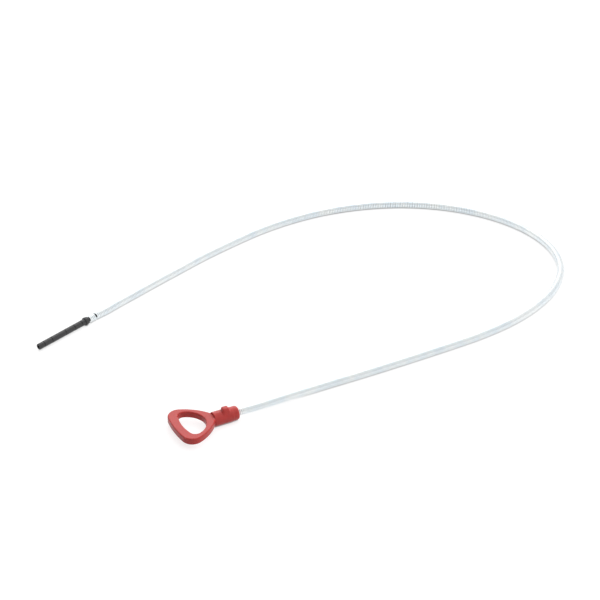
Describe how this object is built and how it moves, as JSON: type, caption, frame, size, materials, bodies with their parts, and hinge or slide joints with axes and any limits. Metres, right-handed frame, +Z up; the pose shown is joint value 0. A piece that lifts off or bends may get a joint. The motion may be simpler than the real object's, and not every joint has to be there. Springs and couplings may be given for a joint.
{
  "type": "transmission dipstick",
  "caption": "Long flexible dipstick: a ring handle with a stopper barrel, a close-wound steel coil and a slim black measuring tip with level marks.",
  "frame": {"origin": "on the surface that the dipstick lies on, under the middle of the box round its handle and measuring tip", "axes": "+X along the handle's barrel, from the ring grip towards the coil; +Z up, out of the surface; +Y to the left of +X, the side to which the coil curves back"},
  "size_m": [0.5623, 0.3288, 0.0175],
  "materials": {
    "handle": "satin moulded red plastic",
    "coil": "bright zinc-plated spring wire, close-wound",
    "tip": "satin moulded black plastic"
  },
  "bodies": {
    "root": {"handle": "handle", "coil": "coil", "tip": "tip"}
  },
  "joints": []
}
